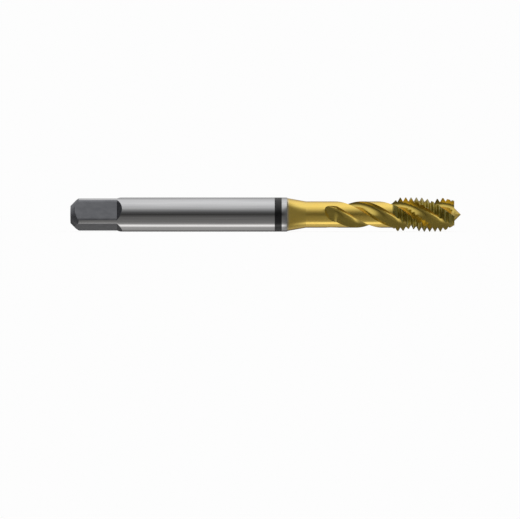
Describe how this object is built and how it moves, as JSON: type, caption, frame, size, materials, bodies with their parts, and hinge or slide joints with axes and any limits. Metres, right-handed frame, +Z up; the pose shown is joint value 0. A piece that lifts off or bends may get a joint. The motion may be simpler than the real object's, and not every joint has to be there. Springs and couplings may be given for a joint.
{
  "type": "spiral flute machine tap",
  "caption": "Machine tap that cuts a right-hand M8 thread: spiral flutes, threaded lands with a short lead, reduced neck, round shank and a driving square.",
  "frame": {"origin": "centre of the flat face at the drive end, on the tool's axis", "axes": "+X along the tool's axis towards the point, +Z up as it lies"},
  "size_m": [0.0915, 0.008, 0.008],
  "materials": {
    "tap_steel": "ground shank, gold coated cutting end, dark driving square"
  },
  "bodies": {
    "root": {"spiral_flute_tap": "tap_steel"}
  },
  "joints": []
}
